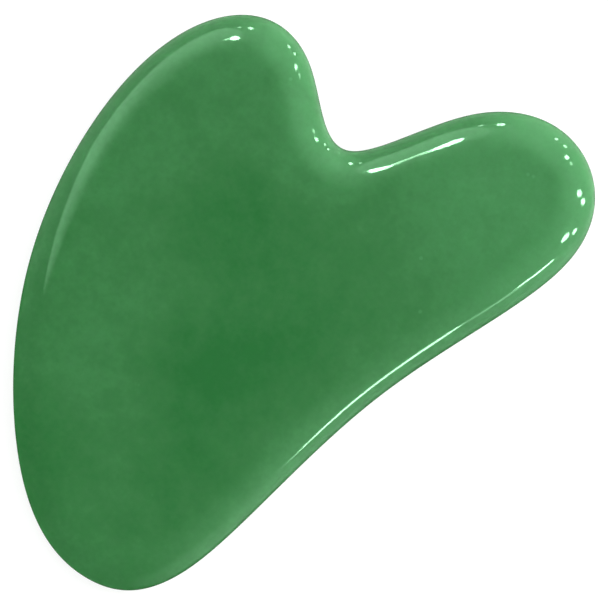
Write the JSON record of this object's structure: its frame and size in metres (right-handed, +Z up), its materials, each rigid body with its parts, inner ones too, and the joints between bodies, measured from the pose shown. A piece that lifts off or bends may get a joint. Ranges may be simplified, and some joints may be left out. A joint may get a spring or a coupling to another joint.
{
  "type": "gua sha scraper",
  "caption": "Flat heart-like massage plate of polished green stone, with a notch between a wide lobe and a slim one, a long hollowed edge, a bowed back and a rounded tip.",
  "frame": {"origin": "middle of the underside of the bounding box, on the surface that the scraper lies on", "axes": "+Z is up through the thickness, +Y runs from the rounded tip towards the notch between the two lobes, and +X is towards the long hollowed edge and the slim thumb lobe"},
  "size_m": [0.0608, 0.081, 0.006],
  "materials": {
    "green_stone": "polished"
  },
  "bodies": {
    "root": {"scraper": "green_stone"}
  },
  "joints": []
}
